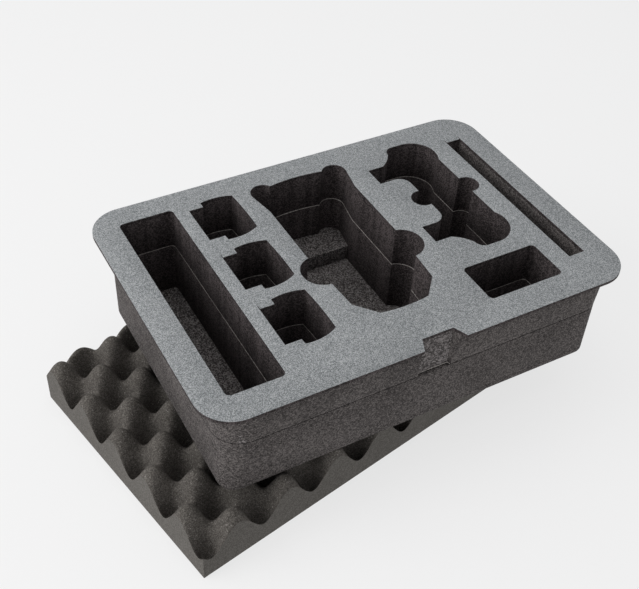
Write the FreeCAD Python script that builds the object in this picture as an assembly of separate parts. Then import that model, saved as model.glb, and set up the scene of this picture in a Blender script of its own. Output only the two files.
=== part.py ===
import FreeCAD, Part
import math
import os

os.makedirs("parts", exist_ok=True)

# Foam insert for a hard case: a deep laminated tray with cut pockets that stands
# on the convoluted pad of the lid.  Millimetres.  Z is up and the floor is Z = 0.
# X runs along the tray's long side and Y towards its back.  The origin is the
# point of the floor under the middle of the tray.

# ---- driving sizes ---------------------------------------------------------

# stack of the tray, from the bottom up
base_thickness = 6.4
lower_thickness = 54.1
film_thickness = 0.9
upper_thickness = 38.4
sheet_thickness = 3.2

# outer shape of the tray
sheet_radius = 32.7
overhang_end = 12.0
overhang_front = 5.0
upper_radius = 33.0
seam_radius = 26.0
foot_radius = 16.0
seam_recess = 1.2
upper_draft_end = 2.5
upper_draft_front = 4.5
lower_draft_end = 1.7
lower_draft_front = 3.4

# rims and webs between the pockets
rim_left = 26.3
rim_right = 24.9
rim_back = 23.5
rim_front = 27.3
web_long_battery = 13.8
web_battery_drone = 4.7
web_drone_remote = 9.1
web_remote_slot = 9.7
web_remote_box = 17.4

# long pocket on the left
long_width = 52.5
long_length = 232.9
long_radius = 4.5

# three battery pockets, each with a finger tab on its left
battery_count = 3
battery_pitch = 73.9
battery_width = 33.5
battery_length = 61.8
battery_crown = 3.3
battery_skew = 6.2
battery_side_bow = 1.6
battery_front_in = 1.4
battery_front_dip = 0.4
battery_lean = 0.3
battery_crown_place = 0.42
battery_neck = 1.0
tab_width = 14.3
tab_length = 47.0
tab_offset = 6.5

# drone pocket, alike on both sides of its centre line
drone_half_width = 46.4
drone_length = 205.9
drone_crown = 3.4
nose_radius = 12.4
nose_out = 39.2
nose_back = 12.4
nose_taper = 41.4
nose_lean = 12.0
arm_radius = 19.7
arm_out = 42.4
arm_back = 135.4
waist_half_width = 43.6
tail_half_width = 41.4
tail_chamfer_length = 20.5
tail_chamfer_width = 17.0
tail_corner = 1.0
tail_bow = 1.2
riser_height = 17.0
riser_length = 33.4
riser_clearance = 0.3

# controller pocket, alike towards the back and the front
remote_half_length = 85.7
remote_left = 27.7
remote_right = 75.7
grip_radius = 24.9
grip_out = 60.8
grip_centre = 54.5
grip_shoulder = 32.4
grip_tab_low = 37.2
grip_tab_high = 60.8
grip_fillet = 11.9
grip_past = 3.6
waist_radius = 1.0
shoulder_flat = 41.0
shoulder_in = 2.2
shoulder_rise = 3.4
shoulder_drop = 9.6
tab_root = 17.0
tab_bend = 26.2
tab_bend_rise = 7.2
stick_radius = 11.6
stick_left = 25.4
stick_right = 77.9

# plain box pocket in front of the controller, and the thin slot on the right
box_width = 79.3
box_length = 44.2
box_radius = 4.5
slot_width = 17.4
slot_length = 200.3
slot_back = 17.1

# finger notch in the front edge
notch_centre = 3.2
notch_mouth = 42.9
notch_floor = 31.2
notch_depth = 13.0

# convoluted pad that the tray stands on
pad_length = 389.6
pad_width = 253.5
pad_peak = 54.0
pad_pit = 6.0
peak_fullness = 1.2
pad_turn = 11.41
pad_corner_left = 18.3
pad_corner_front = 18.7
peak_pitch_x = 54.5
peak_pitch_y = 50.9
first_peak_x = 9.0
first_peak_y = -16.9
wave_steps = 10
pole_swing = 1.04
rest_gap = 0.3

# nicks that the knife left where it ran past a corner of the top sheet
nick_length = 4.0
nick_width = 0.6

# ---- places worked out from them --------------------------------------------

battery_total = tab_width + battery_width
drone_total = 2 * (arm_out + arm_radius)
remote_total = stick_right + stick_radius
battery_column = battery_pitch * (battery_count - 1) + battery_length
remote_column = 2 * remote_half_length + web_remote_box + box_length
drone_column = nose_radius - nose_back + drone_length + drone_crown
columns = [long_length, battery_column, drone_column, remote_column, slot_back + slot_length]

tray_width = rim_back + max(columns) + rim_front
widths = [long_width, battery_total, drone_total, remote_total, slot_width]
webs = [web_long_battery, web_battery_drone, web_drone_remote, web_remote_slot]
tray_length = rim_left + sum(widths) + sum(webs) + rim_right

left_edge = -tray_length / 2
front_edge = -tray_width / 2
back_line = tray_width / 2 - rim_back

long_x = left_edge + rim_left
battery_x = long_x + long_width + web_long_battery + tab_width
drone_x = battery_x + battery_width + web_battery_drone + drone_total / 2
remote_x = drone_x + drone_total / 2 + web_drone_remote
slot_x = remote_x + remote_total + web_remote_slot
remote_y = back_line - remote_half_length

base_low = pad_peak + rest_gap
base_top = base_low + base_thickness
lower_top = base_top + lower_thickness
film_top = lower_top + film_thickness
upper_top = film_top + upper_thickness
sheet_top = upper_top + sheet_thickness


def vec(x, y, z=0.0):
    return FreeCAD.Vector(x, y, z)


def prism(wire, low, high):
    """Straight solid over a flat wire, from one height to another."""
    face = Part.Face(wire)
    face.translate(vec(0, 0, low))
    return face.extrude(vec(0, 0, high - low))


def traced(start, steps, last_arc=None):
    """Closed wire; a step is a corner, or a pair (point on the arc, end of the arc)."""
    edges = []
    here = start
    closing = (last_arc, start) if last_arc else start
    for step in steps + [closing]:
        if isinstance(step[0], tuple):
            through, end = step
            edges.append(Part.Arc(vec(*here), vec(*through), vec(*end)).toShape())
        else:
            end = step
            edges.append(Part.LineSegment(vec(*here), vec(*end)).toShape())
        here = end
    return Part.Wire(edges)


def rounded(x0, y0, x1, y1, radius, z=0.0):
    """Rectangle with round corners, as a closed wire at one height."""
    bend = radius * (1 - math.sqrt(0.5))
    steps = [
        (x1 - radius, y0),
        ((x1 - bend, y0 + bend), (x1, y0 + radius)),
        (x1, y1 - radius),
        ((x1 - bend, y1 - bend), (x1 - radius, y1)),
        (x0 + radius, y1),
        ((x0 + bend, y1 - bend), (x0, y1 - radius)),
        (x0, y0 + radius),
    ]
    wire = traced((x0 + radius, y0), steps, last_arc=(x0 + bend, y0 + bend))
    wire.translate(vec(0, 0, z))
    return wire


def tray_outline(inset_end, inset_front, radius, z):
    """Outline of the tray, drawn in from the edge of its top sheet."""
    half_x = tray_length / 2 - inset_end
    half_y = tray_width / 2 - inset_front
    return rounded(-half_x, -half_y, half_x, half_y, radius, z)


def joined(solids):
    """One solid from several that overlap."""
    whole = solids[0]
    for solid in solids[1:]:
        whole = whole.fuse(solid)
    return whole.removeSplitter()


def disc(x, y, radius, low, high):
    """Upright cylinder between two heights."""
    return Part.makeCylinder(radius, high - low, vec(x, y, low))


# ---- pocket shapes: each is the solid that is cut out ------------------------


def long_pocket(low, high):
    outline = rounded(long_x, back_line - long_length, long_x + long_width, back_line, long_radius)
    return prism(outline, low, high)


def battery_pocket(index, low, high):
    """Battery well with a crowned back, a bowed front and a finger tab."""
    x = battery_x
    y = back_line - battery_length - index * battery_pitch
    back = y + battery_length
    right = x + battery_width
    outline = traced(
        (x + battery_front_in, y + battery_front_dip),
        [
            ((x + (1 - battery_crown_place) * battery_width, y + 2 * battery_front_dip),
             (right - battery_lean, y + battery_skew)),
            ((right, y + battery_length / 2), (right - battery_side_bow, back - battery_crown)),
            ((x + battery_crown_place * battery_width, back), (x, back - battery_crown / 2)),
            (x, y + tab_offset + tab_length),
            (x - tab_width, y + tab_offset + tab_length),
            (x - tab_width, y + tab_offset),
            (x + battery_neck, y + tab_offset),
        ],
    )
    return prism(outline, low, high)


def drone_pocket(low, high):
    """Well for a folded drone: a body, two nose lobes and two arm lobes."""
    top = back_line - drone_crown
    low_y = top - drone_length + drone_crown
    nose_y = back_line - nose_back
    taper_y = back_line - nose_taper
    arm_y = back_line - arm_back
    chamfer_y = low_y + tail_chamfer_length
    tail = tail_half_width - tail_chamfer_width
    body = traced(
        (drone_x - drone_half_width, taper_y),
        [
            (drone_x - drone_half_width, arm_y),
            (drone_x - waist_half_width, arm_y - arm_radius),
            (drone_x - tail_half_width, chamfer_y),
            (drone_x - tail, low_y + tail_corner),
            ((drone_x, low_y - tail_bow), (drone_x + tail, low_y + tail_corner)),
            (drone_x + tail_half_width, chamfer_y),
            (drone_x + waist_half_width, arm_y - arm_radius),
            (drone_x + drone_half_width, arm_y),
            (drone_x + drone_half_width, taper_y),
            (drone_x + drone_half_width - nose_radius, top - drone_crown),
            ((drone_x, top), (drone_x - drone_half_width + nose_radius, top - drone_crown)),
        ],
    )
    solids = [prism(body, low, high)]
    for side in (-1, 1):
        out = drone_x + side * nose_out
        edge = out + side * nose_radius * math.cos(math.radians(nose_lean))
        start = nose_y - nose_radius * math.sin(math.radians(nose_lean))
        inner = drone_x + side * (drone_half_width - nose_radius)
        taper = traced(
            (inner, nose_y),
            [
                (inner, taper_y),
                (drone_x + side * drone_half_width, taper_y),
                (edge, start),
                (out, nose_y),
            ],
        )
        solids.append(prism(taper, low, high))
        solids.append(disc(out, nose_y, nose_radius, low, high))
        solids.append(disc(drone_x + side * arm_out, arm_y, arm_radius, low, high))
    return joined(solids)


def remote_pocket(low, high):
    """Well for a controller: a waist, two round grips, two tabs and two stick hollows."""
    x = remote_x
    y = remote_y
    left = x + remote_left
    waist = prism(
        rounded(left, y - grip_centre, x + remote_right, y + grip_centre, waist_radius),
        low, high
    )
    solids = [waist]
    solids.append(disc(x + stick_left, y, stick_radius, low, high))
    solids.append(disc(x + stick_right, y, stick_radius, low, high))
    for side in (-1, 1):
        centre = y + side * grip_out
        grip_x = x + remote_right + grip_past - grip_radius
        end = y + side * remote_half_length
        solids.append(disc(grip_x, centre, grip_radius, low, high))
        neck_low = y + side * grip_tab_low
        neck_high = y + side * grip_tab_high
        shoulder = x + grip_shoulder
        root = left - grip_fillet
        hollow = grip_fillet * (1 - math.sqrt(0.5))
        side_piece = traced(
            (x, neck_low),
            [
                (root, neck_low),
                ((left - hollow, neck_low - side * hollow), (left, neck_low - side * grip_fillet)),
                (grip_x, neck_low - side * grip_fillet),
                (grip_x, end),
                (x + shoulder_flat, end),
                ((shoulder + shoulder_in, end - side * shoulder_rise),
                 (shoulder, end - side * shoulder_drop)),
                ((x + tab_bend, neck_high + side * tab_bend_rise), (x + tab_root, neck_high)),
                (x, neck_high),
            ],
        )
        solids.append(prism(side_piece, low, high))
    return joined(solids)


def box_pocket(low, high):
    back = back_line - 2 * remote_half_length - web_remote_box
    outline = rounded(remote_x, back - box_length, remote_x + box_width, back, box_radius)
    return prism(outline, low, high)


def slot_pocket(low, high):
    back = back_line - slot_back
    return Part.makeBox(slot_width, slot_length, high - low, vec(slot_x, back - slot_length, low))


def finger_notch(low, high):
    """Trapezoid cut into the front edge."""
    outside = front_edge - overhang_front
    outline = traced(
        (notch_centre - notch_mouth / 2, outside),
        [
            (notch_centre + notch_mouth / 2, outside),
            (notch_centre + notch_mouth / 2, front_edge),
            (notch_centre + notch_floor / 2, front_edge + notch_depth),
            (notch_centre - notch_floor / 2, front_edge + notch_depth),
            (notch_centre - notch_mouth / 2, front_edge),
        ],
    )
    return prism(outline, low, high)


def with_pockets(solid, low, high):
    """Cut every pocket through a layer, a little past both of its faces."""
    over = 1.0
    tools = [
        long_pocket(low - over, high + over),
        drone_pocket(low - over, high + over),
        remote_pocket(low - over, high + over),
        box_pocket(low - over, high + over),
        slot_pocket(low - over, high + over),
    ]
    for index in range(battery_count):
        tools.append(battery_pocket(index, low - over, high + over))
    for tool in tools:
        solid = solid.cut(tool)
    return solid


# ---- the tray's layers ---------------------------------------------------------


def seam_outline(z, recess=0.0):
    inset_end = overhang_end + upper_draft_end + recess
    inset_front = overhang_front + upper_draft_front + recess
    return tray_outline(inset_end, inset_front, seam_radius - recess, z)


def lower_block():
    """Everything under the seam, before it is split into the layer and the base."""
    foot = tray_outline(
        overhang_end + upper_draft_end + lower_draft_end,
        overhang_front + upper_draft_front + lower_draft_front,
        foot_radius,
        base_low,
    )
    return Part.makeLoft([foot, seam_outline(lower_top)], True, True)


def slab(low, high):
    """Box wider than the tray, for splitting a block by height."""
    return Part.makeBox(
        2 * tray_length, 2 * tray_width, high - low, vec(-tray_length, -tray_width, low)
    )


def nicks():
    """Knife over-cuts at two finger tabs and at the back of the slot."""
    places = []
    for index in (1, 2):
        tab_back = back_line - battery_length - index * battery_pitch + tab_offset + tab_length
        places.append((battery_x - tab_width, tab_back))
    places.append((slot_x, back_line - slot_back))
    places.append((slot_x + slot_width - nick_width, back_line - slot_back))
    height = sheet_thickness + 2
    return [
        Part.makeBox(nick_width, nick_length + 1, height, vec(x, y - 1, upper_top - 1))
        for x, y in places
    ]


def top_sheet():
    outline = tray_outline(0, 0, sheet_radius, 0)
    sheet = prism(outline, upper_top, sheet_top)
    sheet = with_pockets(sheet, upper_top, sheet_top)
    for nick in nicks():
        sheet = sheet.cut(nick)
    return sheet.cut(finger_notch(upper_top - 1, sheet_top + 1))


def upper_layer():
    head = tray_outline(overhang_end, overhang_front, upper_radius, upper_top)
    layer = Part.makeLoft([seam_outline(film_top), head], True, True)
    layer = with_pockets(layer, film_top, upper_top)
    return layer.cut(finger_notch(film_top - 1, upper_top + 1))


def seam_film():
    """Fused skin of the two planks; outside it stops short of them and leaves a crevice."""
    film = prism(seam_outline(0, seam_recess), lower_top, film_top)
    return with_pockets(film, lower_top, film_top).cut(finger_notch(lower_top - 1, film_top + 1))


def lower_layer():
    layer = lower_block().common(slab(base_top, lower_top + 1))
    return with_pockets(layer, base_top, lower_top)


def base_sheet():
    return lower_block().common(slab(base_low - 1, base_top))


def drone_riser():
    """Block that lifts the drone's tail end; it fills the back of its pocket."""
    back_piece = Part.makeBox(
        drone_total,
        riser_length + rim_back,
        riser_height,
        vec(drone_x - drone_total / 2, back_line - drone_crown - riser_length, base_top),
    )
    block = drone_pocket(base_top, base_top + riser_height).common(back_piece)
    foot = min(block.Faces, key=lambda face: face.CenterOfMass.z)
    outline = foot.makeOffset2D(-riser_clearance)
    return outline.extrude(vec(0, 0, riser_height))


# ---- the lid's convoluted pad ----------------------------------------------------


def pole_places(length, count):
    """Where the poles of a clamped cubic stand so that it runs evenly along a length."""
    spans = count - 3
    knots = [0, 0, 0] + list(range(spans + 1)) + [spans, spans, spans]
    return [length * sum(knots[i + 1:i + 4]) / (3 * spans) for i in range(count)]


def pad_height(along, across, gain):
    """Height of the egg-crate face: full round peaks and pits on a staggered grid."""
    middle = (pad_peak + pad_pit) / 2
    wave_x = math.cos(2 * math.pi * (along - first_peak_x) / peak_pitch_x)
    wave_y = math.cos(2 * math.pi * (across - first_peak_y) / peak_pitch_y)
    drop = ((1 - wave_x * wave_y) / 2) ** peak_fullness
    height = pad_peak - (pad_peak - pad_pit) * drop
    return middle + (height - middle) * gain


def pole_gain(index, count):
    """A cubic stays inside its poles, so they swing further than the wave, except at the rims."""
    if index < 2 or index > count - 3:
        return 1.0
    return pole_swing


def wavy_surface():
    """One smooth cubic surface over the pad, with its rims in the planes of its sides."""
    count_x = round(wave_steps * pad_length / peak_pitch_x) + 3
    count_y = round(wave_steps * pad_width / peak_pitch_y) + 3
    places_x = pole_places(pad_length, count_x)
    places_y = pole_places(pad_width, count_y)
    poles = []
    for i, along in enumerate(places_x):
        row = []
        for j, across in enumerate(places_y):
            gain = pole_gain(i, count_x) * pole_gain(j, count_y)
            row.append(vec(along, across, pad_height(along, across, gain)))
        poles.append(row)
    knots_x = list(range(count_x - 2))
    knots_y = list(range(count_y - 2))
    mults_x = [4] + [1] * (count_x - 4) + [4]
    mults_y = [4] + [1] * (count_y - 4) + [4]
    surface = Part.BSplineSurface()
    surface.buildFromPolesMultsKnots(
        poles, mults_x, mults_y, knots_x, knots_y, False, False, 3, 3
    )
    return surface


def lid_pad():
    """Flat block whose upper face is one smooth wavy surface."""
    surface = wavy_surface()
    u0, u1, v0, v1 = surface.bounds()
    faces = [surface.toShape()]
    rims = [surface.uIso(u0), surface.vIso(v1), surface.uIso(u1), surface.vIso(v0)]
    floor = []
    for rim in rims:
        edge = rim.toShape()
        first = edge.valueAt(edge.FirstParameter)
        last = edge.valueAt(edge.LastParameter)
        first_foot = vec(first.x, first.y)
        last_foot = vec(last.x, last.y)
        sides = [
            edge,
            Part.LineSegment(last, last_foot).toShape(),
            Part.LineSegment(last_foot, first_foot).toShape(),
            Part.LineSegment(first_foot, first).toShape(),
        ]
        faces.append(Part.Face(Part.Wire(sides)))
        floor.append(sides[2])
    faces.append(Part.Face(Part.Wire(Part.__sortEdges__(floor))))
    shell = Part.makeShell(faces)
    shell.sewShape()
    pad = Part.makeSolid(shell)
    pad.rotate(vec(0, 0, 0), vec(0, 0, 1), pad_turn)
    pad.translate(vec(left_edge - pad_corner_left, front_edge - pad_corner_front))
    return pad


nodes = {
    "top_sheet": top_sheet,
    "upper_layer": upper_layer,
    "seam_film": seam_film,
    "lower_layer": lower_layer,
    "base_sheet": base_sheet,
    "drone_riser": drone_riser,
    "lid_pad": lid_pad,
}

for name, make in nodes.items():
    shape = make()
    shape.exportStep("parts/" + name + ".step")
    box = shape.BoundBox
    print(
        name, "solids", len(shape.Solids), "valid", shape.isValid(),
        "volume cm3 %.1f" % (shape.Volume / 1000),
        "x %.1f..%.1f y %.1f..%.1f z %.1f..%.1f"
        % (box.XMin, box.XMax, box.YMin, box.YMax, box.ZMin, box.ZMax),
    )
print("tray %.1f x %.1f, top at %.1f" % (tray_length, tray_width, sheet_top))
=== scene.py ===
import math

import bmesh
import bpy
from mathutils import Matrix, Vector


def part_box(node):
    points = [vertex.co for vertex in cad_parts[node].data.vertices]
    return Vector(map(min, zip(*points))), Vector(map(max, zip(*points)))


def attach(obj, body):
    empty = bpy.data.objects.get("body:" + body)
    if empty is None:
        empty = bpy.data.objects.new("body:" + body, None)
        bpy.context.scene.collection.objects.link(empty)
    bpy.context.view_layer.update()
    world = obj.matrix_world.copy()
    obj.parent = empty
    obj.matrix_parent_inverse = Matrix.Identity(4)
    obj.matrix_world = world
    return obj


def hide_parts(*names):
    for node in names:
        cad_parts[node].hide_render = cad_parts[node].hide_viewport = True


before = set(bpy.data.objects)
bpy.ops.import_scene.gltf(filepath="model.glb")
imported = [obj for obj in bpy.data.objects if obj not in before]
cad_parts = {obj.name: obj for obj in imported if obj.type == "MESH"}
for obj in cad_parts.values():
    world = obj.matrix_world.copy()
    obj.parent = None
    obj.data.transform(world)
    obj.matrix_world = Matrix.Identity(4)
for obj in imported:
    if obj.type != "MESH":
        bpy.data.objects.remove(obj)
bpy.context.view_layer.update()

MM = 0.001

# ---- camera and light -------------------------------------------------------------

LENS = 57.3
SENSOR_WIDTH = 36.0
CAMERA_PLACE = (-0.3979, -0.5933)
CAMERA_TURN = (47.262, -2.719, -28.869)
# the lens stands this far over the tray's top sheet
EYE_HEIGHT = 0.59335

SKY_COLOUR = "#F8F8FA"
SKY_STRENGTH = 0.48
LAMP_TARGET = (0, 0, 0.1)
# name, place, size in metres, watts, colour
LAMPS = (
    ("key", (-1.7, 0.5, 1.3), 1.3, 19, (1.0, 1.0, 1.0)),
    ("left", (-2.2, -0.3, 0.45), 1.0, 9, (0.98, 0.98, 1.0)),
    ("top", (-0.2, 0.1, 2.2), 1.6, 13, (1.0, 1.0, 1.0)),
)


def new_object(name, data):
    """Object at the origin that holds the data."""
    thing = bpy.data.objects.new(name, data)
    bpy.context.collection.objects.link(thing)
    return thing


def make_camera():
    """Long-lens view from the front left, looking down on the tray."""
    data = bpy.data.cameras.new("camera")
    data.lens = LENS
    data.sensor_width = SENSOR_WIDTH
    camera = new_object("camera", data)
    camera.location = (*CAMERA_PLACE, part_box("top_sheet")[1][2] + EYE_HEIGHT)
    camera.rotation_euler = [math.radians(angle) for angle in CAMERA_TURN]
    bpy.context.scene.camera = camera


def make_light(name, place, size, watts, colour):
    """Soft square lamp aimed at the tray."""
    data = bpy.data.lights.new(name, "AREA")
    data.shape = "SQUARE"
    data.size = size
    data.energy = watts
    data.color = colour
    lamp = new_object(name, data)
    lamp.location = place
    aim = Vector(LAMP_TARGET) - Vector(place)
    lamp.rotation_euler = aim.to_track_quat("-Z", "Y").to_euler()


def linear(hex_colour):
    """Linear colour, with alpha, of an sRGB hex value."""
    channels = [int(hex_colour[i:i + 2], 16) / 255 for i in (1, 3, 5)]
    values = [c / 12.92 if c <= 0.04045 else ((c + 0.055) / 1.055) ** 2.4 for c in channels]
    return (*values, 1.0)


def make_studio():
    """Even white surround with a broad key from the left."""
    scene = bpy.context.scene
    scene.view_settings.view_transform = "Standard"
    world = bpy.data.worlds.new("studio")
    scene.world = world
    world.use_nodes = True
    sky = world.node_tree.nodes["Background"]
    sky.inputs["Color"].default_value = linear(SKY_COLOUR)
    sky.inputs["Strength"].default_value = SKY_STRENGTH
    for lamp in LAMPS:
        make_light(*lamp)


# ---- materials --------------------------------------------------------------------

# clouds of uneven foaming are this wide
CLOUD_SIZE = 60 * MM
# a knife leaves a ridge about this often, and each runs most of the way down
RIDGE_PITCH = 7 * MM
RIDGE_SQUEEZE = 0.03
# the grain's noise is a little wider than a cell, and has this share of the tone
GRAIN_PER_CELL = 1.1
GRAIN_SHARE = 0.3
# places of the dark, middle and light tones between a noise's low and high ends
TONE_PLACES = (0.2, 0.5, 0.8)
SPECK_COLOUR = "#a9a4a0"
SPECK_STRENGTH = 0.6
BUMP_STRENGTH = 0.7
FOAM_ROUGHNESS = 0.95
FOAM_SPECULAR = 0.2


def add(tree, kind, values=None, **settings):
    """Adds a node; values sets its inputs, and a socket among them is linked."""
    node = tree.nodes.new(kind)
    for name, value in settings.items():
        setattr(node, name, value)
    for key, value in (values or {}).items():
        socket = node.inputs[key]
        if isinstance(value, bpy.types.NodeSocket):
            tree.links.new(value, socket)
        else:
            socket.default_value = value
    return node


def new_material(name):
    """Empty node tree and the object coordinates that its patterns follow."""
    material = bpy.data.materials.new(name)
    material.use_nodes = True
    tree = material.node_tree
    tree.nodes.clear()
    return material, tree, add(tree, "ShaderNodeTexCoord").outputs["Object"]


def foam(name, tones, cell, relief, cloud=0.1, specks=0.0, ridges=0.0):
    """Foam skin or cut face.

    The cells, in millimetres, each have a tone of their own, dark to light.
    The relief, in millimetres, is how far they stand out.
    The clouds change the tone slowly over centimetres, as uneven foaming does.
    The specks are the share of open cells that catch the light.
    The ridges are upright bands that a knife leaves as it works its way down.
    """
    material, tree, place = new_material(name)
    cells = add(tree, "ShaderNodeTexVoronoi", {"Vector": place, "Scale": 1 / (cell * MM)})
    single = add(tree, "ShaderNodeSeparateColor", {"Color": cells.outputs["Color"]})
    grain = add(
        tree,
        "ShaderNodeTexNoise",
        {
            "Vector": place,
            "Scale": 1 / (GRAIN_PER_CELL * cell * MM),
            "Detail": 2.0,
            "Roughness": 0.8,
        },
    )
    coarse = add(
        tree,
        "ShaderNodeMapRange",
        {"Value": grain.outputs["Fac"], "From Min": 0.3, "From Max": 0.7},
    )
    mean = add(
        tree,
        "ShaderNodeMix",
        {"Factor": GRAIN_SHARE, "A": single.outputs["Red"], "B": coarse.outputs["Result"]},
    )
    clouds = add(tree, "ShaderNodeTexNoise", {"Vector": place, "Scale": 1 / CLOUD_SIZE})
    slow = add(
        tree,
        "ShaderNodeMapRange",
        {
            "Value": clouds.outputs["Fac"],
            "From Min": 0.3,
            "From Max": 0.7,
            "To Min": -cloud,
            "To Max": cloud,
        },
    )
    total = add(
        tree, "ShaderNodeMath", {0: mean.outputs["Result"], 1: slow.outputs["Result"]}
    )
    if ridges:
        upright = add(
            tree, "ShaderNodeMapping", {"Vector": place, "Scale": (1, 1, RIDGE_SQUEEZE)}
        )
        bands = add(
            tree,
            "ShaderNodeTexNoise",
            {"Vector": upright.outputs["Vector"], "Scale": 1 / RIDGE_PITCH, "Detail": 1.0},
        )
        uneven = add(
            tree,
            "ShaderNodeMapRange",
            {
                "Value": bands.outputs["Fac"],
                "From Min": 0.35,
                "From Max": 0.65,
                "To Min": -ridges,
                "To Max": ridges,
            },
        )
        total = add(
            tree, "ShaderNodeMath", {0: total.outputs["Value"], 1: uneven.outputs["Result"]}
        )
    ramp = add(tree, "ShaderNodeValToRGB", {"Fac": total.outputs["Value"]})
    ramp.color_ramp.elements.new(0.5)
    for element, position, tone in zip(ramp.color_ramp.elements, TONE_PLACES, tones):
        element.position = position
        element.color = linear(tone)
    colour = ramp.outputs["Color"]
    if specks:
        shine = add(
            tree,
            "ShaderNodeMapRange",
            {
                "Value": single.outputs["Green"],
                "From Min": 1 - specks,
                "To Max": SPECK_STRENGTH,
            },
        )
        mixed = add(
            tree,
            "ShaderNodeMix",
            {0: shine.outputs["Result"], 6: colour, 7: linear(SPECK_COLOUR)},
            data_type="RGBA",
        )
        colour = mixed.outputs[2]
    bump = add(
        tree,
        "ShaderNodeBump",
        {
            "Height": cells.outputs["Distance"],
            "Distance": relief * MM,
            "Strength": BUMP_STRENGTH,
        },
    )
    shader = add(
        tree,
        "ShaderNodeBsdfPrincipled",
        {
            "Base Color": colour,
            "Roughness": FOAM_ROUGHNESS,
            "Specular IOR Level": FOAM_SPECULAR,
            "Normal": bump.outputs["Normal"],
        },
    )
    add(tree, "ShaderNodeOutputMaterial", {"Surface": shader.outputs["BSDF"]})
    return material


def lit_paper(name, colour, glow):
    """Back-lit white sweep: it glows on its own, so shadows on it stay faint."""
    material, tree, _ = new_material(name)
    shader = add(
        tree,
        "ShaderNodeBsdfPrincipled",
        {
            "Base Color": linear(colour),
            "Roughness": 1.0,
            "Specular IOR Level": 0.0,
            "Emission Color": linear("#ffffff"),
            "Emission Strength": glow,
        },
    )
    add(tree, "ShaderNodeOutputMaterial", {"Surface": shader.outputs["BSDF"]})
    return material


# closed pale skin of the top sheet: light grey with a fine salt-and-pepper grain
skin_foam = foam("PE foam skin", ("#666a6c", "#8a8d8e", "#afb1b2"), 0.6, 0.1, 0.03)
# the planks' outer faces: warm charcoal, coarse even cells
plank_foam = foam("charcoal PE plank foam", ("#322f2e", "#4d4948", "#6f6a68"), 1.0, 0.3, 0.08)
# knife-cut pocket walls: smoother than the outside, with upright ridges; their tones, darker
# than the outside, are painted shade of the pockets, and the top sheet's cut sides take the
# same shade
cut_foam_painted_shade = foam(
    "knife-cut PE foam, painted shade", ("#231f1f", "#3a3535", "#575050"), 1.0, 0.2, 0.06, ridges=0.1
)
# pocket floors: dark with bright open cells
bed_foam = foam("open-cell pocket bed", ("#2f2c2c", "#4d4948", "#7d7978"), 1.1, 0.3, 0.08, 0.1)
# torn, lighter face at the back of the finger notch
torn_foam = foam("torn PE foam", ("#3e3b3a", "#625e5d", "#8d8887"), 1.4, 0.6, 0.1)
# melted seam between the planks: a pale line in the pocket walls
seam_film = foam("fused PE film", ("#8e8985", "#b0aba6", "#cbc6c1"), 1.0, 0.1)
# the same seam seen from outside: near-black painted shade of the crevice between the planks,
# on the film's outer face
seam_painted_shade = foam("painted seam shade", ("#080707", "#0d0c0c", "#141212"), 1.2, 0.1)
# bumpy face of the pad: warm dark grey, finely speckled; its tones sit below the sawn sides'
# as painted shade of the pits
pad_foam_painted_shade = foam("convoluted PU foam, painted pit shade", ("#43403c", "#54504c", "#6a6661"), 0.8, 0.2, 0.08, 0.03)
# sawn sides of the pad: smoother, and lighter than the bumpy face with its painted pit shade
sawn_foam = foam("sawn PU foam", ("#504d49", "#5d5a56", "#6c6965"), 0.8, 0.1, 0.06)
# seamless floor: almost as bright as the sky behind it
floor_paper = lit_paper("back-lit white sweep", "#7a7a7a", 0.71)

# ---- meshes -------------------------------------------------------------------------


def mesh_object(bm, name, materials):
    """Object at the origin with the finished mesh and its materials."""
    mesh = bpy.data.meshes.new(name)
    bm.to_mesh(mesh)
    bm.free()
    for material in materials:
        mesh.materials.append(material)
    return new_object(name, mesh)


# ---- the tray's layers --------------------------------------------------------------

# corners of a CAD mesh closer than this are one corner
WELD = 0.01 * MM
# facets that turn less than this are one flat face
FLAT = math.radians(0.5)
# edges that turn more than this are rounded off, and stay crisp in the shading
SHARP = math.radians(40)
EDGE_ROUND = 0.7 * MM
# a face this near to level is left flat
LEVEL = 0.98
# a face counts as facing up, or as upright, past this share of its normal
STEEP = 0.5
# the notch's back wall lies between these depths, and pocket walls lie deeper
NOTCH_REACH = 5 * MM
SIDE_REACH = 16 * MM
# the back wall faces straight to the front
FRONTWARD = 0.9
# the film's outer face, painted as the seam's shade, is brought out almost flush, where it can
# be seen
SEAM_GROWTH = 1.0 * MM


def depth_inside(place):
    """How far a place lies inside the planks' outer box, in plan."""
    low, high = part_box("upper_layer")
    return min(min(place[i] - low[i], high[i] - place[i]) for i in (0, 1))


def is_inside(face):
    """Whether a face belongs to a pocket rather than to the outer sides."""
    return depth_inside(face.calc_center_median()) > SIDE_REACH


def pick_sheet(face):
    """Skin on top, cut foam darkened with painted shade elsewhere."""
    return 0 if face.normal.z > STEEP else 1


def pick_base(face):
    """Pocket bed on top, plank foam elsewhere."""
    return 1 if face.normal.z > STEEP else 0


def pick_plank(face):
    """Pocket walls or the outside."""
    return 1 if abs(face.normal.z) < STEEP and is_inside(face) else 0


def pick_notched_plank(face):
    """As pick_plank, and the torn face at the back of the finger notch."""
    depth = depth_inside(face.calc_center_median())
    torn = face.normal.y < -FRONTWARD and NOTCH_REACH < depth < SIDE_REACH
    return 2 if torn else pick_plank(face)


def pick_film(face):
    """Pale film in the pockets, painted crevice shade outside."""
    return 1 if is_inside(face) else 0


def pick_first(face):
    """The same material all over."""
    return 0


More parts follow.
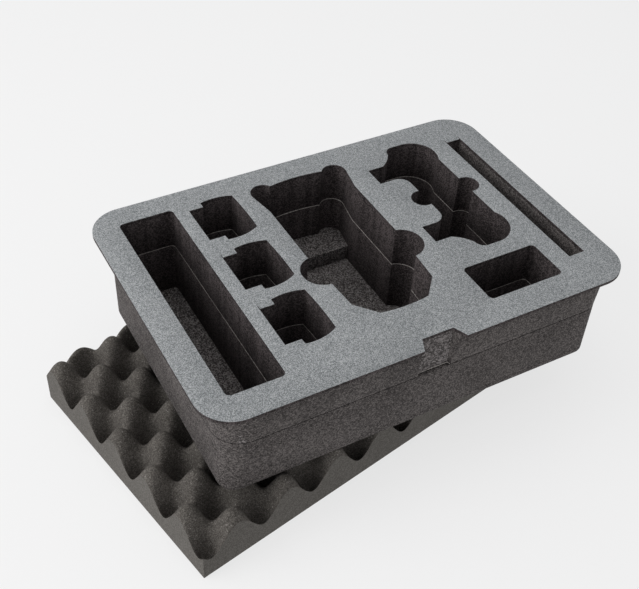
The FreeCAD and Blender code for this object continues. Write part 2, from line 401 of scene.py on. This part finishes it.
def soft_layer(node, materials, pick, soften=True, grow=0.0):
    """Copy of a CAD layer; pick gives each face its material.

    The edges are rounded where the layer is to be softened, and its outer sides move
    out by the growth.
    """
    bm = bmesh.new()
    bm.from_mesh(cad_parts[node].data)
    bmesh.ops.remove_doubles(bm, verts=bm.verts, dist=WELD)
    bmesh.ops.dissolve_limit(bm, angle_limit=FLAT, verts=bm.verts, edges=bm.edges)
    for face in bm.faces:
        face.material_index = pick(face)
    bm.normal_update()
    for vert in bm.verts:
        if grow and depth_inside(vert.co) < SIDE_REACH:
            vert.co += grow * Vector((vert.normal.x, vert.normal.y, 0)).normalized()
    if soften:
        bmesh.ops.bevel(
            bm,
            geom=[e for e in bm.edges if e.is_manifold and e.calc_face_angle() > SHARP],
            offset=EDGE_ROUND,
            affect="EDGES",
            segments=2,
            profile=0.5,
            material=-1,
            clamp_overlap=True,
        )
    bmesh.ops.triangulate(bm, faces=bm.faces)
    for face in bm.faces:
        face.smooth = abs(face.normal.z) < LEVEL
    piece = mesh_object(bm, node + "_foam", materials)
    piece.data.set_sharp_from_angle(angle=SHARP)
    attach(piece, "tray")
    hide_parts(node)


def make_tray():
    """Pale top sheet, two charcoal planks with the seam between them, and the beds."""
    planks = [plank_foam, cut_foam_painted_shade]
    seam = [seam_painted_shade, seam_film]
    soft_layer("top_sheet", [skin_foam, cut_foam_painted_shade], pick_sheet)
    soft_layer("upper_layer", planks + [torn_foam], pick_notched_plank)
    soft_layer("lower_layer", planks, pick_plank)
    soft_layer("drone_riser", [bed_foam], pick_first)
    soft_layer("base_sheet", [plank_foam, bed_foam], pick_base)
    soft_layer("seam_film", seam, pick_film, soften=False, grow=SEAM_GROWTH)


# ---- the lid's convoluted pad ---------------------------------------------------------

PEAK_PITCH_ALONG = 54.5 * MM
PEAK_PITCH_ACROSS = 50.9 * MM
FIRST_PEAK_ALONG = 9.0 * MM
FIRST_PEAK_ACROSS = -16.9 * MM
PIT_HEIGHT = 6.0 * MM
# over 1, the peaks are broad and round and the pits narrow
PEAK_FULLNESS = 1.35
GRID_STEP = 1.8 * MM
# corners of the pad's foot lie lower than this
FOOT_HEIGHT = 0.1 * MM
# a face that looks up more than this belongs to the bumpy top
BUMPY = 0.2


def pad_corners():
    """Front left corner of the pad's foot and the two edges that leave it."""
    corners = [v.co.copy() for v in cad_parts["lid_pad"].data.vertices]
    foot = [corner for corner in corners if corner.z < FOOT_HEIGHT]
    front = min(foot, key=lambda corner: corner.y)
    right = max(foot, key=lambda corner: corner.x)
    back = min(foot, key=lambda corner: corner.x)
    return front, right - front, back - front


def pad_height(along, across, peak):
    """Full round peaks and pits on a staggered grid."""
    wave = math.cos(2 * math.pi * (along - FIRST_PEAK_ALONG) / PEAK_PITCH_ALONG)
    wave *= math.cos(2 * math.pi * (across - FIRST_PEAK_ACROSS) / PEAK_PITCH_ACROSS)
    drop = ((1 - wave) / 2) ** PEAK_FULLNESS
    return peak - (peak - PIT_HEIGHT) * drop


def make_pad():
    """Egg-crate pad: a dense sheet pushed up in staggered peaks, on a flat foot."""
    corner, edge_along, edge_across = pad_corners()
    length = edge_along.length
    width = edge_across.length
    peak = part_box("lid_pad")[1][2]
    bm = bmesh.new()
    bmesh.ops.create_grid(
        bm,
        x_segments=round(length / GRID_STEP),
        y_segments=round(width / GRID_STEP),
        size=0.5,
    )
    for vert in bm.verts:
        along = (vert.co.x + 0.5) * length
        across = (vert.co.y + 0.5) * width
        vert.co = (along, across, pad_height(along, across, peak))
    rim = [edge for edge in bm.edges if edge.is_boundary]
    skirt = bmesh.ops.extrude_edge_only(bm, edges=rim)["geom"]
    for item in skirt:
        if isinstance(item, bmesh.types.BMVert):
            item.co.z = 0.0
    bmesh.ops.contextual_create(bm, geom=[e for e in bm.edges if e.is_boundary])
    bmesh.ops.recalc_face_normals(bm, faces=bm.faces)
    for face in bm.faces:
        face.smooth = face.normal.z > BUMPY
        face.material_index = 0 if face.smooth else 1
    turn = Matrix((edge_along.normalized(), edge_across.normalized(), (0, 0, 1))).transposed()
    bmesh.ops.transform(bm, matrix=Matrix.Translation(corner) @ turn.to_4x4(), verts=bm.verts)
    pad = mesh_object(bm, "egg_crate_pad", [pad_foam_painted_shade, sawn_foam])
    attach(pad, "pad")
    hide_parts("lid_pad")


# ---- the floor ------------------------------------------------------------------------

FLOOR_SIZE = 6.0


def make_floor():
    """Plain pale sweep under the pad."""
    bm = bmesh.new()
    bmesh.ops.create_grid(bm, x_segments=1, y_segments=1, size=FLOOR_SIZE)
    floor = mesh_object(bm, "floor", [floor_paper])


make_camera()
make_studio()
make_tray()
make_pad()
make_floor()
